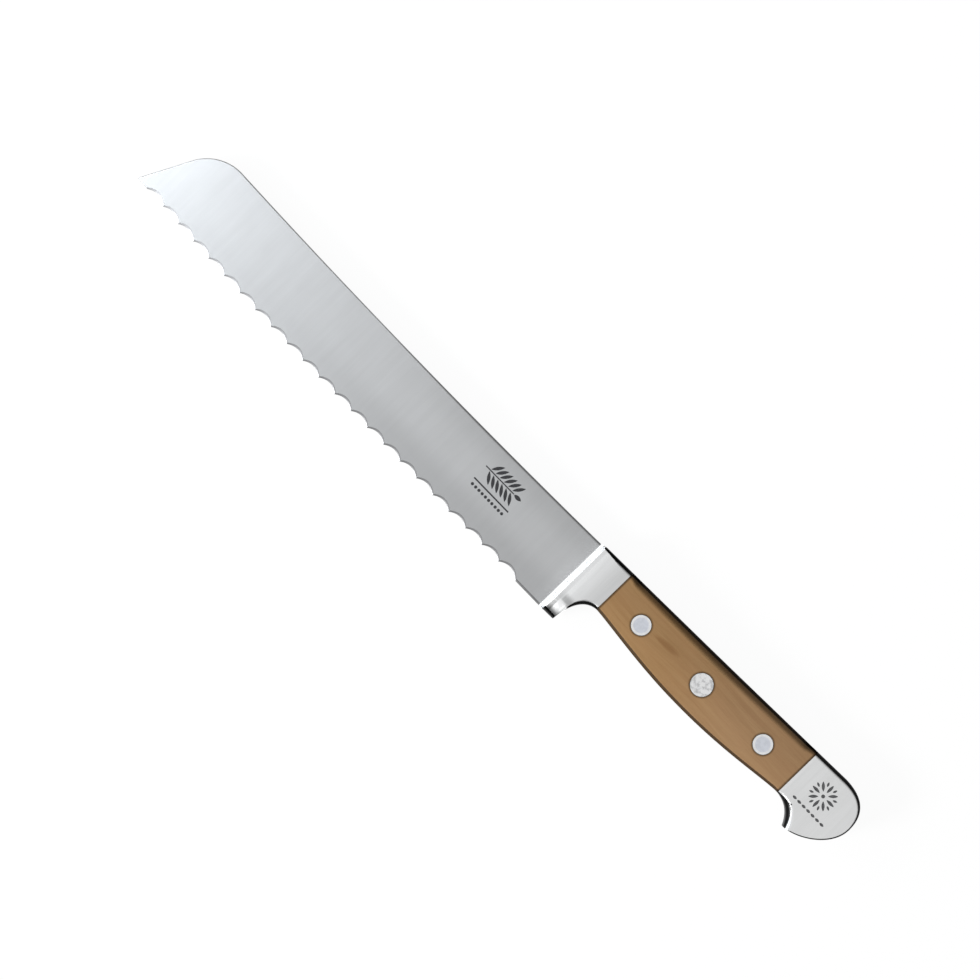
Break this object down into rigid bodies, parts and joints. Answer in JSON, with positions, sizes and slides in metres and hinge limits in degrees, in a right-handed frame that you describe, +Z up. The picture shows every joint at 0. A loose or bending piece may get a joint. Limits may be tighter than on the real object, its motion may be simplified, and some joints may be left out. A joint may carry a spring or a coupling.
{
  "type": "bread knife",
  "caption": "Bread knife with a scalloped blade, forged bolster, full tang and hooked pommel, and wooden handle scales held by flush rivets.",
  "frame": {"origin": "under the middle of the knife, on the surface that it lies on", "axes": "+X from the blade's tip to the pommel, +Y from the cutting edge to the spine, +Z up, out of the side of the handle that faces up"},
  "size_m": [0.3394, 0.0352, 0.017],
  "materials": {
    "forged_steel": "fine brushed lines across the blade, satin bolster and pommel",
    "pear_wood": "smooth oiled pear wood",
    "rivet_steel": "ground flush with the wood"
  },
  "bodies": {
    "root": {"forging": "forged_steel", "scale_upper": "pear_wood", "scale_lower": "pear_wood", "rivet_pin_front": "rivet_steel", "rivet_pin_middle": "rivet_steel", "rivet_pin_rear": "rivet_steel", "rivet_tube_front": "rivet_steel", "rivet_tube_middle": "rivet_steel", "rivet_tube_rear": "rivet_steel"}
  },
  "joints": []
}
